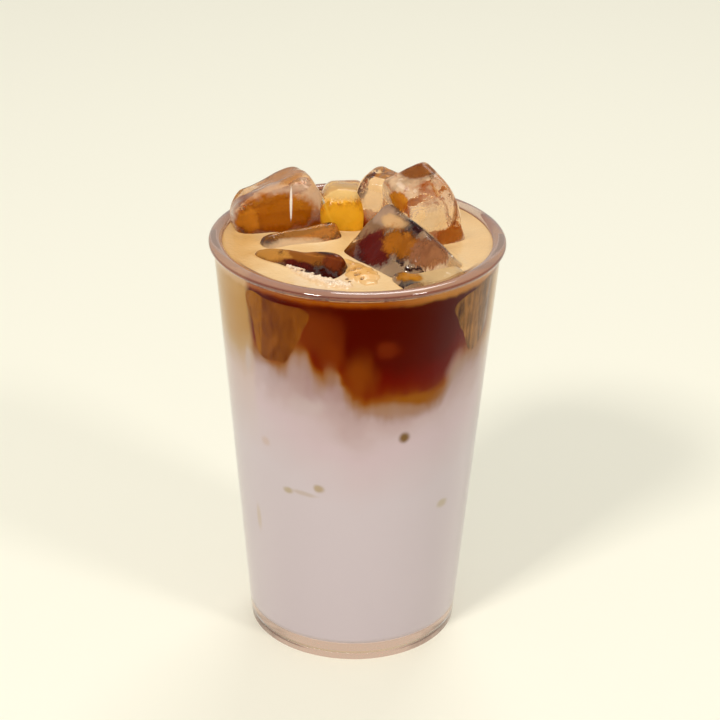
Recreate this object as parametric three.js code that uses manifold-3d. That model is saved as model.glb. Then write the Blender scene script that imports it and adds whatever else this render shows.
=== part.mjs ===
// Iced latte in a conical glass: glass, milk, coffee, foam and eight floating pieces of ice.
// Millimetres, +Z up. The origin is the middle of the base, on the surface that the glass stands on.
// The drink's layers and the ice are separate solids, a hair's breadth apart.

import * as THREE from 'three';
import { mergeVertices } from 'three/addons/utils/BufferGeometryUtils.js';
import Module from 'manifold-3d';

// Glass
const RIM_RADIUS = 43;
const GLASS_HEIGHT = 125.2;
const BASE_RADIUS = 31.4;
const WALL_SLOPE = 0.0831;
const WALL = 2.83;
const FLOOR_THICKNESS = 4.7;
const FLOOR_FILLET = 2;
const HEEL_RADIUS = 0.9;
const HEEL_STEPS = 3;
const RECESS_RADIUS = 24;
const RECESS_DEPTH = 0.8;
const BEAD_HALF_HEIGHT = 1.3;
const BEAD_TOP_RADIUS = 40.85;
const BEAD_NECK = 0.4;
const BEAD_OUTSIDE = { from: -55, to: 90, steps: 6 };
const BEAD_INSIDE = { from: 110, to: 180, steps: 3 };
const FILLET_STEPS = 3;
const SIDES = 44;
const ROOF = 160;
const MERGE_DISTANCE = 1e-4;

// Drink
const LEVEL = 123.7;
const FOAM_DEPTH = 4.2;
const GAP = 0.3;
const LAYER_GAP = 0.6;
const DRINK_RINGS = 3;
const MILK_TOP = 102;
const MILK_DIP = 15.5;
const MILK_DIP_ANGLE = -82;
const MILK_DIP_SPREAD = 62;
const MILK_RIPPLE = 1.6;
const FOAM_RIPPLE = 0.7;
const FOAM_RIPPLE_SCALE = 2;
const MILK_SEED = 1;
const FOAM_SEED = 4;

// Ice: size is width, depth and height; turn, roll and lean are degrees about Z, X and Y.
// A higher melt leaves sharper edges, and narrowing draws a piece in towards its top.
const ICE_STEPS = 6;
const ICE_UNEVENNESS = 0.45;
const ICE_WALL_CLEARANCE = 0.4;
const ICE_RIPPLE_SCALE = 2;
const ICE = {
  ice_wedge: {
    size: [25, 15, 16], at: [-15.8, -1, 117], turn: 25, roll: 32, lean: -3, narrowing: 0, melt: 9,
  },
  ice_front_left: {
    size: [29.5, 14.5, 15], at: [-16, -18.6, 118], turn: -27, roll: 38, lean: -8, narrowing: 0,
    melt: 7,
  },
  ice_left: {
    size: [29, 18, 28.5], at: [-22, 13.2, 122.1], turn: 20, roll: -12, lean: -21, narrowing: 0.08, melt: 7,
  },
  ice_right: {
    size: [20, 22.5, 30], at: [18.6, 3.2, 128.8], turn: 25, roll: 18, lean: -17, narrowing: 0.19, melt: 8,
  },
  ice_front_right: {
    size: [27.5, 28.5, 27], at: [13.8, -12.5, 117.8], turn: 37.5, roll: 9, lean: 44.3, narrowing: 0,
    melt: 10,
  },
  ice_middle: {
    size: [17, 21, 27], at: [6, 14.4, 125.4], turn: -24, roll: -6, lean: 8, narrowing: 0.3, melt: 6,
  },
  ice_back: {
    size: [18.5, 24, 26], at: [-4.3, 15.6, 121.9], turn: -1, roll: -4, lean: 2, narrowing: 0.22, melt: 4,
  },
  ice_rim: {
    size: [22, 11, 18], at: [20.7, -27.9, 116.6], turn: 28, roll: 4, lean: 2, narrowing: 0, melt: 8,
  },
};

// Colours
const GLASS_TINT = 0xdfe6e2;
const MILK_COLOUR = 0xd0bfbc;
const COFFEE_COLOUR = 0x5e0c01;
const FOAM_COLOUR = 0xe6c490;
const ICE_COLOUR = 0xe9c79b;
const GLASS_ROUGHNESS = 0.05;
const DRINK_ROUGHNESS = 0.35;
const ICE_ROUGHNESS = 0.1;

const wasm = await Module();
wasm.setup();

// Inner radius of the glass wall at height z
function innerRadius(z) {
  return BASE_RADIUS + WALL_SLOPE * z - WALL;
}

// Smooth, repeatable unevenness between about -1 and 1
function ripple(x, y, z, seed) {
  const a = Math.sin(0.21 * x + 0.13 * y + 1.7 * seed);
  const b = Math.sin(0.17 * y - 0.19 * z + 2.3 * seed);
  const c = Math.sin(0.26 * z + 0.15 * x + 0.9 * seed);
  return (a + b + c) / 3;
}

function arc(cx, cy, rx, ry, from, to, steps) {
  const points = [];
  for (let i = 0; i <= steps; i += 1) {
    const t = THREE.MathUtils.degToRad(from + ((to - from) * i) / steps);
    points.push(new THREE.Vector2(cx + rx * Math.cos(t), cy + ry * Math.sin(t)));
  }
  return points;
}

// A closed mesh as a solid for joining and cutting
function solidOf(geometry) {
  const bare = geometry.clone();
  bare.deleteAttribute('normal');
  bare.deleteAttribute('uv');
  const merged = mergeVertices(bare, MERGE_DISTANCE);
  const index = merged.index.array;
  const faces = [];
  for (let i = 0; i < index.length; i += 3) {
    const [a, b, c] = [index[i], index[i + 1], index[i + 2]];
    if (a !== b && b !== c && c !== a) faces.push(a, b, c);
  }
  return new wasm.Manifold(new wasm.Mesh({
    numProp: 3,
    vertProperties: new Float32Array(merged.attributes.position.array),
    triVerts: new Uint32Array(faces),
  }));
}

// The separate bodies of a solid as geometries, largest first
function bodiesOf(solid) {
  const bodies = solid.decompose();
  bodies.sort((a, b) => b.volume() - a.volume());
  return bodies.map(geometryOf);
}

function geometryOf(solid) {
  const mesh = solid.getMesh();
  const geometry = new THREE.BufferGeometry();
  geometry.setAttribute('position', new THREE.BufferAttribute(mesh.vertProperties, 3));
  geometry.setIndex(new THREE.BufferAttribute(mesh.triVerts, 1));
  geometry.computeVertexNormals();
  return geometry;
}

// Glass wall, thick floor and rounded bead, turned from one closed outline
function glassGeometry() {
  const beadMiddle = GLASS_HEIGHT - BEAD_HALF_HEIGHT;
  const beadFoot = beadMiddle - BEAD_HALF_HEIGHT;
  const floorRadius = innerRadius(FLOOR_THICKNESS) - FLOOR_FILLET;
  const outline = [
    new THREE.Vector2(0, RECESS_DEPTH),
    new THREE.Vector2(RECESS_RADIUS, RECESS_DEPTH),
    new THREE.Vector2(RECESS_RADIUS + RECESS_DEPTH, 0),
    ...arc(BASE_RADIUS - HEEL_RADIUS, HEEL_RADIUS, HEEL_RADIUS, HEEL_RADIUS, -90, 0, HEEL_STEPS),
    new THREE.Vector2(BASE_RADIUS + WALL_SLOPE * beadFoot, beadFoot - BEAD_NECK),
    ...arc(
      BEAD_TOP_RADIUS, beadMiddle, RIM_RADIUS - BEAD_TOP_RADIUS, BEAD_HALF_HEIGHT,
      BEAD_OUTSIDE.from, BEAD_OUTSIDE.to, BEAD_OUTSIDE.steps,
    ),
    ...arc(
      BEAD_TOP_RADIUS, beadMiddle, BEAD_TOP_RADIUS - innerRadius(beadMiddle), BEAD_HALF_HEIGHT,
      BEAD_INSIDE.from, BEAD_INSIDE.to, BEAD_INSIDE.steps,
    ),
    ...arc(
      floorRadius, FLOOR_THICKNESS + FLOOR_FILLET, FLOOR_FILLET, FLOOR_FILLET, 0, -90, FILLET_STEPS,
    ),
    new THREE.Vector2(0, FLOOR_THICKNESS),
  ];
  return new THREE.LatheGeometry(outline, SIDES);
}

// Height of the uneven line between milk and coffee
function milkHeight(x, y) {
  const reach = Math.hypot(x, y) / innerRadius(MILK_TOP);
  const angle = THREE.MathUtils.radToDeg(Math.atan2(y, x));
  const away = (angle - MILK_DIP_ANGLE) / MILK_DIP_SPREAD;
  const dip = MILK_DIP * reach * reach * Math.exp(-away * away);
  return MILK_TOP - dip + MILK_RIPPLE * reach * ripple(x, y, 0, MILK_SEED);
}

// Height of the underside of the foam
function foamHeight(x, y) {
  const [u, v] = [FOAM_RIPPLE_SCALE * x, FOAM_RIPPLE_SCALE * y];
  return LEVEL - FOAM_DEPTH + FOAM_RIPPLE * ripple(u, v, 0, FOAM_SEED);
}

// The same surface, clear of the layer below it
function above(height) {
  return (x, y) => height(x, y) + LAYER_GAP;
}

// A layer of the drink between two height functions, reaching into the wall until it is trimmed
function layerGeometry(bottom, top) {
  const outline = [];
  for (let i = 0; i <= DRINK_RINGS; i += 1) outline.push(new THREE.Vector2(i / DRINK_RINGS, 0));
  for (let i = DRINK_RINGS; i >= 0; i -= 1) outline.push(new THREE.Vector2(i / DRINK_RINGS, 1));
  const geometry = new THREE.LatheGeometry(outline, SIDES).rotateX(Math.PI / 2);
  const position = geometry.attributes.position;
  const spread = innerRadius(LEVEL);
  for (let i = 0; i < position.count; i += 1) {
    const [x, y, upper] = [position.getX(i), position.getY(i), position.getZ(i)];
    const surface = upper > 0.5 ? top : bottom;
    const height = surface(x * spread, y * spread);
    const radius = innerRadius(height) + GAP;
    position.setXYZ(i, x * radius, y * radius, height);
  }
  return geometry;
}

// A block of ice melted to rounded edges, crowned faces and a slightly uneven surface
function iceGeometry(spec, seed, grown) {
  const [width, depth, height] = spec.size;
  const { melt } = spec;
  const geometry = new THREE.BoxGeometry(1, 1, 1, ICE_STEPS, ICE_STEPS, ICE_STEPS);
  const position = geometry.attributes.position;
  for (let i = 0; i < position.count; i += 1) {
    const p = new THREE.Vector3().fromBufferAttribute(position, i).multiplyScalar(2);
    const power = Math.abs(p.x) ** melt + Math.abs(p.y) ** melt + Math.abs(p.z) ** melt;
    p.multiplyScalar(power ** (-1 / melt));
    const narrow = 1 - spec.narrowing * (0.5 + 0.5 * p.z);
    p.set(p.x * 0.5 * width * narrow, p.y * 0.5 * depth * narrow, p.z * 0.5 * height);
    const q = p.clone().multiplyScalar(ICE_RIPPLE_SCALE);
    p.setLength(p.length() + ICE_UNEVENNESS * ripple(q.x, q.y, q.z, seed) + grown);
    position.setXYZ(i, p.x, p.y, p.z);
  }
  const turned = new THREE.Euler(
    THREE.MathUtils.degToRad(spec.roll),
    THREE.MathUtils.degToRad(spec.lean),
    THREE.MathUtils.degToRad(spec.turn),
    'ZYX',
  );
  const place = new THREE.Matrix4().makeRotationFromEuler(turned).setPosition(...spec.at);
  return geometry.applyMatrix4(place);
}

// Everything inside the glass, up past the rim, as a solid that trims the drink and the ice
function insideSolid(clearance) {
  const floor = FLOOR_THICKNESS + clearance;
  const mouth = GLASS_HEIGHT - BEAD_HALF_HEIGHT;
  const corner = innerRadius(FLOOR_THICKNESS) - FLOOR_FILLET;
  const fillet = FLOOR_FILLET - clearance;
  const outline = [
    new THREE.Vector2(0, floor),
    ...arc(corner, floor + fillet, fillet, fillet, -90, 0, FILLET_STEPS),
    new THREE.Vector2(innerRadius(mouth) - clearance, mouth),
    new THREE.Vector2(innerRadius(mouth) - clearance, ROOF),
    new THREE.Vector2(0, ROOF),
  ];
  return solidOf(new THREE.LatheGeometry(outline, SIDES).rotateX(Math.PI / 2));
}

function meshOf(name, geometry, colour, roughness) {
  const material = new THREE.MeshStandardMaterial({ color: colour, roughness, metalness: 0 });
  const mesh = new THREE.Mesh(geometry, material);
  mesh.name = name;
  return mesh;
}

const part = new THREE.Group();
part.add(meshOf('glass', glassGeometry().rotateX(Math.PI / 2), GLASS_TINT, GLASS_ROUGHNESS));

// Each piece of ice gives way to the pieces named before it
const insideForIce = insideSolid(ICE_WALL_CLEARANCE);
const grownIce = [];
Object.entries(ICE).forEach(([name, spec], seed) => {
  let ice = solidOf(iceGeometry(spec, seed, 0)).intersect(insideForIce);
  for (const other of grownIce) ice = ice.subtract(other);
  grownIce.push(solidOf(iceGeometry(spec, seed, GAP)));
  part.add(meshOf(name, bodiesOf(ice)[0], ICE_COLOUR, ICE_ROUGHNESS));
});

// The drink's layers, cut round the ice, which parts the foam in front from the foam behind
function layer(names, geometry, colour) {
  let solid = solidOf(geometry).intersect(insideForDrink);
  for (const ice of grownIce) solid = solid.subtract(ice);
  const bodies = bodiesOf(solid);
  names.forEach((name, i) => part.add(meshOf(name, bodies[i], colour, DRINK_ROUGHNESS)));
}

const insideForDrink = insideSolid(GAP);
layer(['milk'], layerGeometry(() => FLOOR_THICKNESS + GAP, milkHeight), MILK_COLOUR);
layer(['coffee'], layerGeometry(above(milkHeight), foamHeight), COFFEE_COLOUR);
layer(['foam', 'foam_back'], layerGeometry(above(foamHeight), () => LEVEL), FOAM_COLOUR);

export default part;
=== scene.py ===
"""Dresses an iced latte: smooth glass, layered drink, melting ice, foam and bubbles.

Every shape is worked out in millimetres with +Z up, and brought to metres when its mesh is finished.
The origin is the middle of the base, on the surface that the glass stands on.
"""

import logging
import math
import random
from dataclasses import dataclass, field
from enum import Enum
from typing import Callable, Sequence

import bmesh
import bpy
from mathutils import Matrix, Vector, noise
from mathutils.bvhtree import BVHTree


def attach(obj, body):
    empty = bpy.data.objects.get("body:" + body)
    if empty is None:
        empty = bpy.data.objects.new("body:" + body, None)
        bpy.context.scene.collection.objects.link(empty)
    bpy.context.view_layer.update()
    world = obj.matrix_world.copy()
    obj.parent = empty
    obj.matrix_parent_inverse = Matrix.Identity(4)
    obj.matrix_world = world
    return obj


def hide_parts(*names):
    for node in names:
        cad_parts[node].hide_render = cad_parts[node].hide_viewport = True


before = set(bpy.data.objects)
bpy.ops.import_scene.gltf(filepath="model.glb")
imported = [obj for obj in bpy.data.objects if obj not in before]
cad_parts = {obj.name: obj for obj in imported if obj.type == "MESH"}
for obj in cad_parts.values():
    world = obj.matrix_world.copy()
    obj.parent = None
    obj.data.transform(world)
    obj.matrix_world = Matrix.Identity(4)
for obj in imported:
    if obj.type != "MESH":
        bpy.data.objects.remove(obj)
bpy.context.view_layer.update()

log = logging.getLogger("iced_latte")

MM = 0.001
ROUND = 192
SHARP_EDGE = math.radians(42)
CLOUD_MIDDLE = 0.5
CLOUD_GAIN = 4.0

Colour = tuple[float, float, float]
Triple = tuple[float, float, float]
Pair = tuple[float, float]
Run = tuple[tuple[float, Colour], ...]
Socket = bpy.types.NodeSocket
Surface = Callable[[float, float], float]


def colour(red: int, green: int, blue: int) -> Colour:
    """Turns a screen colour of 0 to 255 into the linear one that a shader takes.

    Args:
        red: Red on screen.
        green: Green on screen.
        blue: Blue on screen.

    Returns:
        The linear colour.
    """
    def linear(value: int) -> float:
        """Linear value of one channel."""
        share = value / 255
        return share / 12.92 if share <= 0.04045 else ((share + 0.055) / 1.055) ** 2.4

    return linear(red), linear(green), linear(blue)


class Cut(Enum):
    """How one solid shapes another."""

    TAKE_AWAY = "DIFFERENCE"
    KEEP_INSIDE = "INTERSECT"


def arc(centre: Pair, reach: Pair, start: float, end: float,
        steps: int) -> list[Pair]:
    """Points on an elliptical arc of a turned outline.

    Args:
        centre: Radius and height of its centre.
        reach: Half width and half height.
        start: First angle in degrees.
        end: Last angle in degrees.
        steps: Number of stretches.

    Returns:
        The points, as radius and height.
    """
    turns = [math.radians(start + (end - start) * i / steps) for i in range(steps + 1)]
    return [(centre[0] + reach[0] * math.cos(t), centre[1] + reach[1] * math.sin(t)) for t in turns]


def turned(outline: Sequence[Pair], sides: int = ROUND) -> bmesh.types.BMesh:
    """Turns an outline that starts and ends on the axis into a closed shape.

    Args:
        outline: Points as radius and height.
        sides: Number of stretches in the full turn.

    Returns:
        The shape, with its poles and its seam merged.
    """
    bm = bmesh.new()
    points = [bm.verts.new((radius, 0, height)) for radius, height in outline]
    edges = [bm.edges.new(pair) for pair in zip(points, points[1:])]
    bmesh.ops.spin(bm, geom=points + edges, cent=(0, 0, 0), axis=(0, 0, 1), dvec=(0, 0, 0),
                   angle=math.tau, steps=sides, use_merge=True, use_duplicate=False)
    bmesh.ops.remove_doubles(bm, verts=bm.verts, dist=1e-4)
    bmesh.ops.recalc_face_normals(bm, faces=bm.faces)
    return bm


def finished(name: str, bm: bmesh.types.BMesh) -> bpy.types.Object:
    """Brings a shape in millimetres to metres and makes it an object at the origin.

    Args:
        name: The piece's name.
        bm: The shape, which is freed.

    Returns:
        The new object.
    """
    bmesh.ops.recalc_face_normals(bm, faces=bm.faces)
    bmesh.ops.scale(bm, vec=(MM, MM, MM), verts=bm.verts)
    mesh = bpy.data.meshes.new(name)
    bm.to_mesh(mesh)
    bm.free()
    piece = bpy.data.objects.new(name, mesh)
    bpy.context.scene.collection.objects.link(piece)
    return piece


def carve(piece: bpy.types.Object, cut: Cut, tools: Sequence[bpy.types.Object]) -> None:
    """Cuts a piece by others and applies the cuts.

    Args:
        piece: The piece that changes.
        cut: Whether the others are taken away or bound it.
        tools: The other solids.
    """
    for tool in tools:
        step = piece.modifiers.new("cut", "BOOLEAN")
        step.operation = cut.value
        step.solver = "MANIFOLD"
        step.object = tool
    graph = bpy.context.evaluated_depsgraph_get()
    mesh = bpy.data.meshes.new_from_object(piece.evaluated_get(graph))
    mesh.materials.clear()
    piece.modifiers.clear()
    old = piece.data
    piece.data = mesh
    bpy.data.meshes.remove(old)


def smoothed(piece: bpy.types.Object) -> None:
    """Shades a piece smooth, apart from its sharp edges.

    Args:
        piece: The piece.
    """
    bm = bmesh.new()
    bm.from_mesh(piece.data)
    for face in bm.faces:
        face.smooth = True
    for edge in bm.edges:
        edge.smooth = len(edge.link_faces) == 2 and edge.calc_face_angle(0.0) < SHARP_EDGE
    bm.to_mesh(piece.data)
    bm.free()


def discard(pieces: Sequence[bpy.types.Object]) -> None:
    """Removes helper solids that have done their work.

    Args:
        pieces: The helpers.
    """
    for piece in pieces:
        mesh = piece.data
        bpy.data.objects.remove(piece)
        bpy.data.meshes.remove(mesh)


def mount(piece: bpy.types.Object, slot: str, finishes: Sequence[bpy.types.Material],
          nodes: Sequence[str] = ()) -> None:
    """Dresses a finished piece and hangs it on the part.

    Args:
        piece: The piece.
        slot: Name of its material slot, which is only written to the log.
        finishes: Its materials, the main one first.
        nodes: The plain solids that it stands for.
    """
    for finish in finishes:
        piece.data.materials.append(finish)
    smoothed(piece)
    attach(piece, "root")
    if nodes:
        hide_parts(*nodes)
    log.info("%s: %d faces, slot %s", piece.name, len(piece.data.polygons), slot)


class Tree:
    """Short ways to wire a material's nodes. Lengths on its inputs are millimetres."""

    def __init__(self, name: str) -> None:
        """Starts an empty material.

        Args:
            name: Its name.
        """
        self.material = bpy.data.materials.new(name)
        self.material.use_nodes = True
        self.nodes = self.material.node_tree.nodes
        self.links = self.material.node_tree.links
        self.nodes.clear()
        self.output = self.nodes.new("ShaderNodeOutputMaterial")

    def feed(self, socket: Socket, value: object) -> None:
        """Links a socket to an input, or sets the input to a plain value.

        Args:
            socket: The input.
            value: A socket, a colour, a vector or a number.
        """
        if isinstance(value, Socket):
            self.links.new(value, socket)
        elif isinstance(value, tuple) and len(value) == 3 and socket.type == "RGBA":
            socket.default_value = (*value, 1.0)
        else:
            socket.default_value = value

    def add(self, kind: str, inputs: dict[str | int, object], **settings: object) -> bpy.types.Node:
        """Adds one node.

        Args:
            kind: Its type, without the words that all types start with.
            inputs: What goes into its inputs, by name or number.
            **settings: Its other settings.

        Returns:
            The node.
        """
        node = self.nodes.new("ShaderNode" + kind)
        for name, value in settings.items():
            setattr(node, name, value)
        for key, value in inputs.items():
            self.feed(node.inputs[key], value)
        return node

    def place(self) -> Socket:
        """Place on the piece in millimetres."""
        return self.scaled(self.add("TexCoord", {}).outputs["Object"], (1 / MM, 1 / MM, 1 / MM))

    def scaled(self, vector: Socket, scale: Triple) -> Socket:
        """A vector stretched along each axis."""
        return self.add("Mapping", {"Vector": vector, "Scale": scale}).outputs["Vector"]

    def axes(self, vector: Socket) -> tuple[Socket, ...]:
        """The three parts of a vector."""
        return tuple(self.add("SeparateXYZ", {0: vector}).outputs)

    def math(self, operation: str, *values: object) -> Socket:
        """One arithmetic step."""
        return self.add("Math", dict(enumerate(values)), operation=operation).outputs[0]

    def span(self, value: object, low: float, high: float, start: float = 0.0,
             end: float = 1.0) -> Socket:
        """A value between low and high brought smoothly to between start and end."""
        limits = {"Value": value, "From Min": low, "From Max": high, "To Min": start, "To Max": end}
        return self.add("MapRange", limits, interpolation_type="SMOOTHSTEP").outputs[0]

    def noise(self, vector: Socket, size: float, detail: float = 2.0, swing: float = 1.0) -> Socket:
        """Soft cloudy pattern round zero.

        Args:
            vector: Where it is read, in millimetres.
            size: Size of its clouds in millimetres.
            detail: How many finer clouds lie on it.
            swing: How far it goes either way, roughly.

        Returns:
            The pattern's value.
        """
        clouds = self.add("TexNoise", {"Vector": vector, "Scale": 1 / size, "Detail": detail})
        return self.math("MULTIPLY", self.math("SUBTRACT", clouds.outputs[0], CLOUD_MIDDLE),
                         CLOUD_GAIN * swing)

    def ramp(self, value: object, stops: Run) -> Socket:
        """A run of colours along a value.

        Args:
            value: The value, in the stops' own units.
            stops: Value and colour of each stop, in rising order.

        Returns:
            The colour.
        """
        low, high = stops[0][0], stops[-1][0]
        share = self.add("MapRange", {"Value": value, "From Min": low, "From Max": high})
        run = self.add("ValToRGB", {0: share.outputs[0]})
        elements = run.color_ramp.elements
        while len(elements) < len(stops):
            elements.new(0.5)
        for element, (at, tone) in zip(elements, stops):
            element.position = (at - low) / (high - low)
            element.color = (*tone, 1.0)
        return run.outputs[0]

    def mix(self, share: object, first: object, second: object) -> Socket:
        """A colour between two, by a share of the second."""
        return self.add("Mix", {0: share, 6: first, 7: second}, data_type="RGBA").outputs[2]

    def distance(self, vector: Socket, centre: Triple) -> Socket:
        """Distance from a point."""
        return self.add("VectorMath", {0: vector, 1: centre}, operation="DISTANCE").outputs["Value"]

    def length(self, across: Socket, up: Socket) -> Socket:
        """Length of a flat vector with two parts."""
        return self.distance(self.add("CombineXYZ", {0: across, 1: up}).outputs[0], (0.0, 0.0, 0.0))

    def angle(self, x: Socket, y: Socket) -> Socket:
        """Angle round the glass in degrees, from +X."""
        return self.math("DEGREES", self.math("ARCTAN2", y, x))

    def bump(self, height: Socket, depth: float) -> Socket:
        """A fine relief of a depth in millimetres."""
        return self.add("Bump", {"Distance": depth * MM, "Strength": 1.0, "Height": height}).outputs[0]

    def principled(self, **values: object) -> bpy.types.Node:
        """The main shader, with inputs given by name, spaces written as underscores."""
        return self.add("BsdfPrincipled", {name.replace("_", " "): v for name, v in values.items()})

    def solid(self, **values: object) -> bpy.types.Material:
        """Ends the material as an opaque one."""
        self.links.new(self.principled(**values).outputs[0], self.output.inputs["Surface"])
        return self.material

    def clear(self, share: object = 1.0, **values: object) -> bpy.types.Material:
        """Ends the material as a clear one, which lets lamps reach what lies behind it.

        Args:
            share: How much of the surface is clear.
            **values: Inputs of the main shader.

        Returns:
            The material.
        """
        shader = self.principled(Transmission_Weight=share, **values)
        path = self.add("LightPath", {})
        passing = self.math("MAXIMUM", path.outputs["Is Shadow Ray"], path.outputs["Is Diffuse Ray"])
        blend = self.add("MixShader", {0: self.math("MULTIPLY", passing, share), 1: shader.outputs[0],
                                       2: self.add("BsdfTransparent", {}).outputs[0]})
        self.links.new(blend.outputs[0], self.output.inputs["Surface"])
        return self.material


@dataclass(frozen=True)
class GlassFinish:
    """Clear polished glass. Its mirror is the share left of what it reflects face on.

    Painted refraction is the share that looks solid, less so towards the back: the dark drink seen
    through the bead, painted in the tint's colour on the crest of the bead and in the drink's colour
    below it.
    """

    name: str
    mirror: float
    bend: float = 1.5
    tint: Colour = colour(252, 253, 250)
    painted_refraction: float = 0.0
    painted_refraction_behind: float = 0.25
    below: Colour = colour(128, 52, 14)
    foot: Pair = (122.5, 122.9)
    crest: Pair = (124.1, 124.7)
    front_to_back: Pair = (6.0, 34.0)
    coat: float = 0.0
    wave: float = 14.0
    relief: float = 0.02

    def material(self) -> bpy.types.Material:
        """The clear glass.

        Returns:
            The material.
        """
        tree = Tree(self.name)
        place = tree.place()
        waves = tree.noise(place, self.wave, 1.0)
        share: object = 1.0
        tone: object = self.tint
        # Painted refraction: a solid share in the colours of the dark drink that the bead shows.
        if self.painted_refraction > 0:
            _, y, z = tree.axes(place)
            tone = tree.mix(tree.span(z, *self.crest), self.below, self.tint)
            solid = tree.math("MULTIPLY", tree.span(z, *self.foot, 0.0, self.painted_refraction),
                              tree.span(y, *self.front_to_back, 1.0, self.painted_refraction_behind))
            share = tree.math("SUBTRACT", 1.0, solid)
        return tree.clear(share, Base_Color=tone, Roughness=0.0, IOR=self.bend, Coat_Weight=self.coat,
                          Specular_Tint=(self.mirror,) * 3, Normal=tree.bump(waves, self.relief))


@dataclass
class Glass:
    """The conical glass: straight wall, thick floor, rounded bead round the rim."""

    rim_radius: float = 42.97
    height: float = 125.2
    base_radius: float = 31.4
    slope: float = 0.0831
    lean: float = 4.7
    wall: float = 2.83
    floor: float = 4.7
    floor_fillet: float = 2.0
    heel: float = 0.9
    recess: Pair = (24.0, 0.8)
    bead_half: float = 1.3
    bead_top: float = 40.85
    neck: float = 0.4
    neck_start: float = 2.0
    trim_roof: float = 170.0
    wall_finish: GlassFinish = GlassFinish("clear_glass", 0.0)
    # The bead's finish carries painted refraction of the dark drink on its crest and below it.
    rim_finish: GlassFinish = GlassFinish("clear_glass_rim", 1.0, tint=colour(196, 154, 128), painted_refraction=0.5,
                                          coat=1.0)

    def inner(self, z: float) -> float:
        """Inner radius of the wall at a height."""
        return self.base_radius + self.slope * z - self.wall

    def outline(self) -> list[Pair]:
        """The closed outline that the glass is turned from, from the axis back to the axis.

        Returns:
            Its points, as radius and height.
        """
        middle = self.height - self.bead_half
        foot = middle - self.bead_half
        corner = self.inner(self.floor) - self.floor_fillet
        lip = self.bead_top - self.inner(middle)
        width, depth = self.recess
        start = foot - self.neck_start
        return [
            (0.0, depth),
            (width, depth),
            *arc((width + depth, depth), (depth, depth), 180, 270, 5)[1:],
            *arc((self.base_radius - self.heel, self.heel), (self.heel, self.heel), -90, -self.lean, 10),
            (self.base_radius + self.slope * start, start),
            (self.base_radius + self.slope * foot, foot - self.neck),
            *arc((self.bead_top, middle), (self.rim_radius - self.bead_top, self.bead_half), -55, 90, 18),
            *arc((self.bead_top, middle), (lip, self.bead_half), 95, 180, 12),
            *arc((corner, self.floor + self.floor_fillet), (self.floor_fillet, self.floor_fillet),
                 self.lean, -90, 14),
            (0.0, self.floor),
        ]

    def inside(self, clearance: float) -> bpy.types.Object:
        """Everything inside the glass, as a solid that trims the ice and the drink.

        Args:
            clearance: Distance that it keeps from the glass; below zero it reaches into it.

        Returns:
            The helper solid.
        """
        bottom = self.floor + clearance
        mouth = self.height - self.bead_half
        corner = self.inner(self.floor) - self.floor_fillet
        fillet = self.floor_fillet - clearance
        edge = self.inner(mouth) - clearance
        outline = [(0.0, bottom), *arc((corner, bottom + fillet), (fillet, fillet), -90, self.lean, 12),
                   (edge, mouth), (edge, self.trim_roof), (0.0, self.trim_roof)]
        return finished("inside", turned(outline))

    def build(self) -> None:
        """Turns and dresses the glass, with the rim's finish on the bead."""
        piece = finished("drinking_glass", turned(self.outline()))
        mount(piece, "glass", [self.wall_finish.material(), self.rim_finish.material()], ["glass"])
        bead_foot = self.height - 2 * self.bead_half
        for face in piece.data.polygons:
            if face.center.z > bead_foot * MM:
                face.material_index = 1


def ripple(x: float, y: float, z: float, seed: int) -> float:
    """Smooth, repeatable unevenness between about -1 and 1, the same as in the solids.

    Args:
        x: Place along X in millimetres.
        y: Place along Y.
        z: Place along Z.
        seed: Which of its patterns.

    Returns:
        The unevenness.
    """
    first = math.sin(0.21 * x + 0.13 * y + 1.7 * seed)
    second = math.sin(0.17 * y - 0.19 * z + 2.3 * seed)
    third = math.sin(0.26 * z + 0.15 * x + 0.9 * seed)
    return (first + second + third) / 3


@dataclass(frozen=True)
class StainOrLight:
    """A soft patch on a piece of ice. Some are coffee, milk and frost that cling to it; some are painted
    light: the lit drink seen through the ice, and a painted highlight.

    Centre and reach are in millimetres, and the reach is turned about Z by so many degrees.
    """

    centre: Triple
    reach: Triple
    tone: Colour
    strength: float
    turn: float = 0.0
    grain: float = 0.0


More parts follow.
